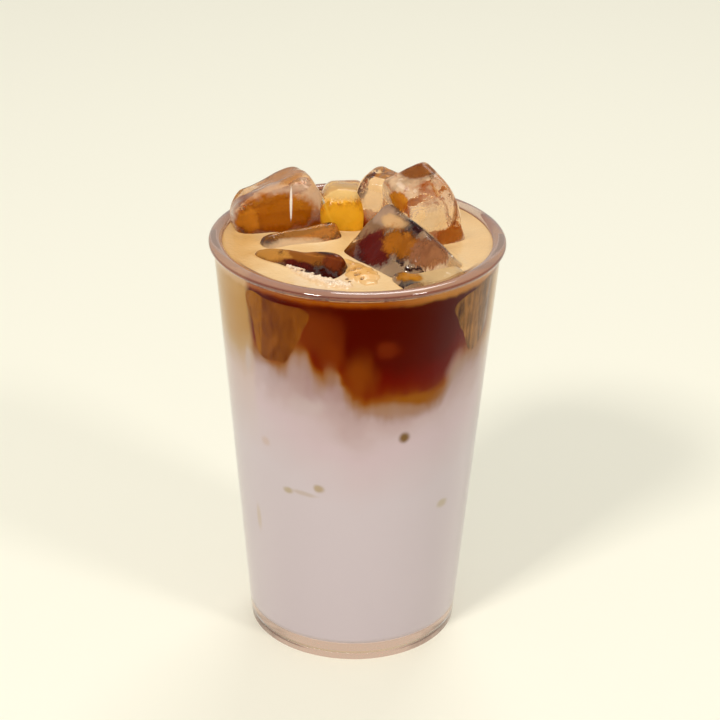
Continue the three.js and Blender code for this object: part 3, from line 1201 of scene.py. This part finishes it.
@dataclass
class Froth:
    """The golden mound of froth between two pieces of ice, with the white froth beside it.

    The mound follows a line of points, each with its half width and height. Fine bubbles stand on
    the white froth, and burst ones leave pits with a raised lip, given as shares of their radius.
    """

    level: float
    corner: Pair = (-25.0, -38.9)
    span: Pair = (42.0, 26.0)
    step: float = 0.17
    skirt: float = 1.2
    ridge: tuple[tuple[float, float, float, float], ...] = (
        (-3.4, -16.5, 2.0, 0.7), (-1.0, -20.6, 3.2, 1.2), (0.8, -24.2, 4.5, 1.5), (2.6, -27.6, 4.3, 1.2),
        (3.2, -30.0, 2.6, 0.7),
    )
    froth: tuple[Triple, ...] = (
        (-18.9, -21.0, 1.5), (-15.0, -24.8, 2.6), (-11.0, -28.6, 3.4), (-7.0, -31.7, 3.4),
        (-3.2, -33.4, 2.4),
    )
    pits: tuple[Pit, ...] = (
        Pit((-1.1, -20.4), 0.75, 0.7), Pit((0.4, -23.9), 1.1, 0.9), Pit((-1.3, -24.7), 1.0, 0.9),
        Pit((0.1, -27.4), 0.95, 0.9), Pit((-2.7, -28.9), 0.6, 1.0), Pit((1.4, -29.5), 0.6, 1.0),
        Pit((-2.0, -30.4), 0.5, 1.0), Pit((3.2, -26.0), 0.45, 0.7), Pit((2.4, -22.4), 0.4, 0.6),
        Pit((-15.9, -24.4), 1.15, 1.2), Pit((-13.4, -24.9), 1.35, 1.3), Pit((-11.4, -26.9), 0.75, 1.1),
        Pit((-9.2, -28.2), 0.6, 1.0), Pit((-7.2, -31.9), 0.5, 0.9), Pit((-17.9, -22.6), 0.7, 1.0),
    )
    bubbles: int = 190
    unevenness: float = 0.22
    lump: float = 1.7
    lump_layer: float = 3.0
    froth_unevenness: float = 1.6
    white_edge: Pair = (1.5, 1.4)
    bed: Pair = (0.6, 0.25)
    mound_sunk: float = 0.12
    mound_side: float = 0.9
    white_on_mound: float = 0.25
    bubble_size: Pair = (0.26, 0.5)
    bubble_sunk: float = 0.45
    white_enough: float = 0.55
    pit_depth: float = 0.95
    pit_floor: float = 0.13
    pit_reach: float = 1.5
    lip: Triple = (0.14, 1.12, 0.16)
    golden_height: float = 1.2
    golden: Colour = colour(234, 174, 90)
    cream: Colour = colour(234, 190, 130)
    white: Colour = colour(242, 214, 180)
    brown: Colour = colour(92, 46, 16)
    seed: int = 7

    def towards(self, x: float, y: float, line: Sequence[Sequence[float]]) -> tuple[float, list[float]]:
        """Finds the nearest place on a line of points.

        Args:
            x: Place along X in millimetres.
            y: Place along Y.
            line: The points, each with its values after its place.

        Returns:
            The distance from it, and the values that go with it.
        """
        best, values = math.inf, [0.0] * (len(line[0]) - 2)
        for first, last in zip(line, line[1:]):
            dx, dy = last[0] - first[0], last[1] - first[1]
            share = ((x - first[0]) * dx + (y - first[1]) * dy) / (dx * dx + dy * dy)
            share = min(max(share, 0.0), 1.0)
            away = math.hypot(x - first[0] - share * dx, y - first[1] - share * dy)
            if away < best:
                best = away
                values = [a + (b - a) * share for a, b in zip(first[2:], last[2:])]
        return best, values

    def surface(self, x: float, y: float) -> Pair:
        """The froth without its bubbles and pits.

        Args:
            x: Place along X in millimetres.
            y: Place along Y.

        Returns:
            Its height above the drink's level, and how white it is.
        """
        away, (width, tall) = self.towards(x, y, self.ridge)
        uneven = self.unevenness * noise.noise(Vector((x / self.lump, y / self.lump, self.lump_layer)))
        share = away / (width * (1 + uneven))
        off, (reach,) = self.towards(x, y, self.froth)
        edge = off / (reach * (1 + self.froth_unevenness * uneven))
        white = min(max(self.white_edge[0] - self.white_edge[1] * edge, 0.0), 1.0)
        bed = self.bed[0] * white - self.bed[1] * (1 - white)
        if share >= 1.0:
            return bed, white
        mound = tall * math.sqrt(1 - share * share) - self.mound_sunk
        return max(mound, bed), white if share > self.mound_side else self.white_on_mound * white

    def build(self, hollows: Sequence[bpy.types.Object], inside: bpy.types.Object) -> None:
        """Makes the froth, cut round the ice.

        Args:
            hollows: What the ice takes up.
            inside: The solid that trims it to the glass.
        """
        across, deep = self.counts()
        heights = [self.surface(*self.at(i, j))[0] for j in range(deep) for i in range(across)]
        for x, y, radius in self.scatter():
            self.raise_bubble(heights, x, y, radius)
        for pit in self.pits:
            self.sink_pit(heights, pit)
        bm = bmesh.new()
        bmesh.ops.create_grid(bm, x_segments=across - 1, y_segments=deep - 1, size=0.5)
        bm.verts.ensure_lookup_table()
        for vert in bm.verts:
            i = round((vert.co.x + 0.5) * (across - 1))
            j = round((vert.co.y + 0.5) * (deep - 1))
            vert.co = (*self.at(i, j), self.level + heights[j * across + i])
        border = [edge for edge in bm.edges if edge.is_boundary]
        wall = bmesh.ops.extrude_edge_only(bm, edges=border)["geom"]
        for vert in (part for part in wall if isinstance(part, bmesh.types.BMVert)):
            vert.co.z = self.level - self.skirt
        bmesh.ops.holes_fill(bm, edges=[edge for edge in bm.edges if edge.is_boundary])
        piece = finished("froth", bm)
        carve(piece, Cut.KEEP_INSIDE, [inside])
        carve(piece, Cut.TAKE_AWAY, hollows)
        mount(piece, "foam", [self.dress(piece)])

    def counts(self) -> tuple[int, int]:
        """Number of grid points along X and Y."""
        return int(self.span[0] / self.step) + 1, int(self.span[1] / self.step) + 1

    def at(self, i: int, j: int) -> Pair:
        """Place of a grid point."""
        return self.corner[0] + i * self.step, self.corner[1] + j * self.step

    def scatter(self) -> list[Triple]:
        """Lays out the fine bubbles, the same each time.

        Returns:
            The place and radius of each.
        """
        chance = random.Random(self.seed)
        least, spread = self.bubble_size
        found: list[Triple] = []
        while len(found) < self.bubbles:
            x = self.corner[0] + chance.random() * self.span[0]
            y = self.corner[1] + chance.random() * self.span[1]
            radius = least + spread * chance.random() ** 3
            clear = all(math.hypot(x - pit.at[0], y - pit.at[1]) > pit.radius + radius
                        for pit in self.pits)
            if self.surface(x, y)[1] > self.white_enough and clear:
                found.append((x, y, radius))
        return found

    def near(self, x: float, y: float, reach: float) -> list[tuple[int, float]]:
        """Finds the grid points near a place.

        Args:
            x: Place along X in millimetres.
            y: Place along Y.
            reach: How near they are.

        Returns:
            The number of each in the list of heights, with its distance.
        """
        across, deep = self.counts()
        found = []
        low_i, low_j = (x - reach - self.corner[0]) / self.step, (y - reach - self.corner[1]) / self.step
        wide = int(2 * reach / self.step) + 3
        for j in range(max(int(low_j), 0), min(int(low_j) + wide, deep)):
            for i in range(max(int(low_i), 0), min(int(low_i) + wide, across)):
                px, py = self.at(i, j)
                away = math.hypot(px - x, py - y)
                if away < reach:
                    found.append((j * across + i, away))
        return found

    def raise_bubble(self, heights: list[float], x: float, y: float, radius: float) -> None:
        """Stands the dome of one bubble on the froth.

        Args:
            heights: Height of each grid point, which is changed.
            x: Place of the bubble along X in millimetres.
            y: Its place along Y.
            radius: Its radius.
        """
        base = self.surface(x, y)[0]
        for index, away in self.near(x, y, radius):
            dome = base + math.sqrt(radius * radius - away * away) - self.bubble_sunk * radius
            heights[index] = max(heights[index], dome)

    def sink_pit(self, heights: list[float], pit: Pit) -> None:
        """Sinks one pit, with a thin raised lip round it.

        Args:
            heights: Height of each grid point, which is changed.
            pit: The pit.
        """
        lip_height, lip_place, lip_width = self.lip
        for index, away in self.near(*pit.at, pit.radius * self.pit_reach):
            share = away / pit.radius
            if share < 1:
                sunk = heights[index] - self.pit_depth * pit.radius * math.sqrt(1 - share * share)
                heights[index] = max(sunk, self.pit_floor)
            heights[index] += lip_height * pit.radius * math.exp(-((share - lip_place) / lip_width) ** 2)

    def dress(self, piece: bpy.types.Object) -> bpy.types.Material:
        """Colours each point: golden on the mound, white on the froth, brown inside a pit.

        Args:
            piece: The froth.

        Returns:
            The material that shows those colours.
        """
        cream, golden, white, brown = map(Vector, (self.cream, self.golden, self.white, self.brown))
        tones = piece.data.color_attributes.new("froth_tone", "FLOAT_COLOR", "POINT")
        for vert, tone in zip(piece.data.vertices, tones.data):
            x, y, z = vert.co / MM
            raised = min(max((z - self.level) / self.golden_height, 0.0), 1.0)
            shade = cream.lerp(golden, raised).lerp(white, self.surface(x, y)[1])
            for pit in self.pits:
                share = math.hypot(x - pit.at[0], y - pit.at[1]) / pit.radius
                if share < 1:
                    shade = shade.lerp(brown, min(pit.dark * (1 - share ** 3), 1.0))
            tone.color = (*shade, 1.0)
        tree = Tree("froth_skin")
        tones_read = tree.add("Attribute", {}, attribute_name="froth_tone").outputs["Color"]
        return tree.solid(Base_Color=tones_read, Roughness=0.18, Specular_IOR_Level=0.5)


@dataclass
class Drink:
    """Milk, coffee and the foamy top, cut round the ice and reaching just into the wall.

    The meniscus is the foam's rise at the wall and at the ice, and how fast it fades. Swell is the
    height and the size of the foam's soft waves.
    """

    glass: Glass
    heap: IceHeap
    level: float = 123.7
    foam_depth: float = 4.2
    foam_sunk: float = 0.05
    milk_top: float = 102.0
    milk_dip: float = 15.5
    milk_dip_angle: float = -82.0
    milk_dip_spread: float = 62.0
    milk_ripple: float = 1.6
    foam_ripple: float = 0.7
    into_wall: float = 0.08
    into_floor: float = 1.0
    overlap: float = 1.0
    rings: int = 24
    foam_rings: int = 110
    foam_sides: int = 384
    meniscus: Triple = (0.9, 0.35, 0.8)
    swell: Pair = (0.12, 6.0)
    skin_slope: float = 0.35
    skin_depth: float = 0.4

    def milk_surface(self, x: float, y: float) -> float:
        """The uneven top of the milk.

        Args:
            x: Place along X in millimetres.
            y: Place along Y.

        Returns:
            Its height.
        """
        reach = math.hypot(x, y) / self.glass.inner(self.milk_top)
        away = (math.degrees(math.atan2(y, x)) - self.milk_dip_angle) / self.milk_dip_spread
        dip = self.milk_dip * reach * reach * math.exp(-away * away)
        return self.milk_top - dip + self.milk_ripple * reach * ripple(x, y, 0, 1)

    def foam_underside(self, x: float, y: float) -> float:
        """Height of the underside of the foam."""
        return self.level - self.foam_depth + self.foam_ripple * ripple(2 * x, 2 * y, 0, 4)

    def floor_surface(self, x: float, y: float) -> float:
        """Height that the milk starts from, inside the glass's floor until it is trimmed."""
        return self.glass.floor - self.into_floor

    def foam_surface(self, ice: BVHTree) -> Surface:
        """The top of the foam, raised where it clings to wall and ice.

        Args:
            ice: The ice, in millimetres.

        Returns:
            Its height at a place.
        """
        at_wall, at_ice, fade = self.meniscus
        swell, wave = self.swell

        def height(x: float, y: float) -> float:
            """Height at one place.

            Args:
                x: Place along X in millimetres.
                y: Place along Y.

            Returns:
                The height.
            """
            nearest = ice.find_nearest(Vector((x, y, self.level)))
            to_wall = max(self.glass.inner(self.level) - math.hypot(x, y), 0.0)
            cling = max(at_ice * math.exp(-nearest[3] / fade), at_wall * math.exp(-to_wall / fade))
            soft = swell * noise.noise(Vector((x / wave, y / wave, 0.5)))
            return self.level + cling + soft - self.foam_sunk

        return height

    def layer(self, name: str, bottom: Surface, top: Surface, rings: int, sides: int,
              inside: bpy.types.Object) -> bpy.types.Object:
        """One layer between two surfaces, trimmed to the glass and cut round the ice.

        Args:
            name: The piece's name.
            bottom: Height of its underside at a place.
            top: Height of its top at a place.
            rings: Number of rings on its top.
            sides: Number of stretches in the full turn.
            inside: The solid that trims it.

        Returns:
            The layer.
        """
        lower = [(i / self.rings, 0.0) for i in range(self.rings + 1)]
        upper = [(i / rings, 1.0) for i in range(rings, -1, -1)]
        bm = turned([*lower, *upper], sides)
        spread = self.glass.inner(self.level)
        for vert in bm.verts:
            surface = top if vert.co.z > 0.5 else bottom
            height = surface(vert.co.x * spread, vert.co.y * spread)
            radius = self.glass.inner(height) + self.overlap
            vert.co = (vert.co.x * radius, vert.co.y * radius, height)
        piece = finished(name, bm)
        carve(piece, Cut.KEEP_INSIDE, [inside])
        carve(piece, Cut.TAKE_AWAY, self.heap.hollows)
        return piece

    def tone(self, name: str) -> bpy.types.Material:
        """The drink's run of colour, as a material of its own for one layer."""
        return DrinkFinish(name, self.level, self.glass).build()

    def build(self) -> None:
        """Makes and dresses the three layers and what is sunk in them."""
        SunkenIce(self.glass).build(self.heap.hollows)
        inside = self.glass.inside(-self.into_wall)
        milk = self.layer("milk_layer", self.floor_surface, self.milk_surface, self.rings, ROUND, inside)
        mount(milk, "milk", [self.tone("milk_drink")], ["milk"])
        coffee = self.layer("coffee_layer", self.milk_surface, self.foam_underside, self.rings, ROUND,
                            inside)
        mount(coffee, "coffee", [self.tone("coffee_drink")], ["coffee"])
        foam = self.layer("foam_layer", self.foam_underside, self.foam_surface(self.ice_tree()),
                          self.foam_rings, self.foam_sides, inside)
        mount(foam, "foam", [self.tone("foam_drink"), FoamFinish().build()], ["foam", "foam_back"])
        self.skin(foam)
        Froth(self.level).build(self.heap.hollows, inside)
        discard([inside, *self.heap.hollows])

    def skin(self, foam: bpy.types.Object) -> None:
        """Gives the foam's top faces the wet skin.

        Args:
            foam: The foam.
        """
        for face in foam.data.polygons:
            if face.normal.z > self.skin_slope and face.center.z > (self.level - self.skin_depth) * MM:
                face.material_index = 1

    def ice_tree(self) -> BVHTree:
        """The hollows round the ice as one search tree.

        Returns:
            The tree, in millimetres.
        """
        points: list[Vector] = []
        faces: list[tuple[int, ...]] = []
        for hollow in self.heap.hollows:
            start = len(points)
            points += [v.co / MM for v in hollow.data.vertices]
            faces += [tuple(start + i for i in face.vertices) for face in hollow.data.polygons]
        return BVHTree.FromPolygons(points, faces)


@dataclass(frozen=True)
class Lamp:
    """A soft lamp: where it hangs and its width and height in millimetres, and its watts."""

    name: str
    place: Triple
    size: Pair
    power: float
    tone: Colour = (1.0, 1.0, 1.0)


@dataclass
class Studio:
    """Pale floor, soft lamps and the camera."""

    camera_place: Triple = (0.0, -592.67, 371.87)
    camera_turn: Triple = (64.17, -0.79, 0.26)
    lens: float = 111.14
    sensor: float = 36.0
    nearest: float = 50.0
    aim: Triple = (0.0, 0.0, 70.0)
    floor_radius: float = 3000.0
    floor_drop: float = 0.1
    floor_tone: Colour = colour(253, 250, 232)
    sky_tone: Colour = colour(255, 254, 250)
    sky_strength: float = 0.52
    lamps: tuple[Lamp, ...] = (
        Lamp("key", (-700, -900, 1150), (260, 260), 9.9, colour(255, 251, 246)),
        Lamp("fill", (900, -700, 900), (220, 300), 4.0, colour(255, 253, 250)),
        Lamp("top", (150, 700, 1200), (500, 400), 3.6),
    )

    def camera(self) -> None:
        """Puts the camera where the photograph was taken from."""
        data = bpy.data.cameras.new("camera")
        data.lens = self.lens
        data.sensor_width = self.sensor
        data.clip_start = self.nearest * MM
        viewer = bpy.data.objects.new("camera", data)
        viewer.location = Vector(self.camera_place) * MM
        viewer.rotation_euler = [math.radians(a) for a in self.camera_turn]
        bpy.context.scene.collection.objects.link(viewer)
        bpy.context.scene.camera = viewer

    def floor(self) -> None:
        """Lays a plain pale floor just under the glass."""
        bm = bmesh.new()
        bmesh.ops.create_circle(bm, cap_ends=True, segments=96, radius=self.floor_radius)
        bmesh.ops.translate(bm, vec=(0, 0, -self.floor_drop), verts=bm.verts)
        ground = finished("floor", bm)
        tree = Tree("pale_floor")
        ground.data.materials.append(tree.solid(Base_Color=self.floor_tone, Roughness=0.55,
                                                Specular_IOR_Level=0.2))

    def light(self, lamp: Lamp) -> None:
        """Hangs one lamp so that it faces the glass.

        Args:
            lamp: The lamp.
        """
        data = bpy.data.lights.new(lamp.name, "AREA")
        data.shape = "RECTANGLE"
        data.size, data.size_y = lamp.size[0] * MM, lamp.size[1] * MM
        data.energy = lamp.power
        data.color = lamp.tone
        body = bpy.data.objects.new(lamp.name, data)
        body.location = Vector(lamp.place) * MM
        body.rotation_euler = (Vector(self.aim) - Vector(lamp.place)).to_track_quat("-Z", "Y").to_euler()
        bpy.context.scene.collection.objects.link(body)

    def sky(self) -> None:
        """Fills the room with even, pale light."""
        world = bpy.data.worlds.new("room")
        world.use_nodes = True
        back = world.node_tree.nodes["Background"]
        back.inputs["Color"].default_value = (*self.sky_tone, 1.0)
        back.inputs["Strength"].default_value = self.sky_strength
        bpy.context.scene.world = world

    def build(self) -> None:
        """Sets the camera, the floor and the light."""
        self.camera()
        self.floor()
        for lamp in self.lamps:
            self.light(lamp)
        self.sky()
        bpy.context.scene.view_settings.view_transform = "Standard"


def main() -> None:
    """Builds the studio, the glass, the ice and the drink in turn."""
    logging.basicConfig(level=logging.INFO, format="%(name)s: %(message)s")
    Studio().build()
    glass = Glass()
    glass.build()
    heap = IceHeap(glass)
    heap.build()
    Drink(glass, heap).build()


if __name__ == "__main__":
    main()
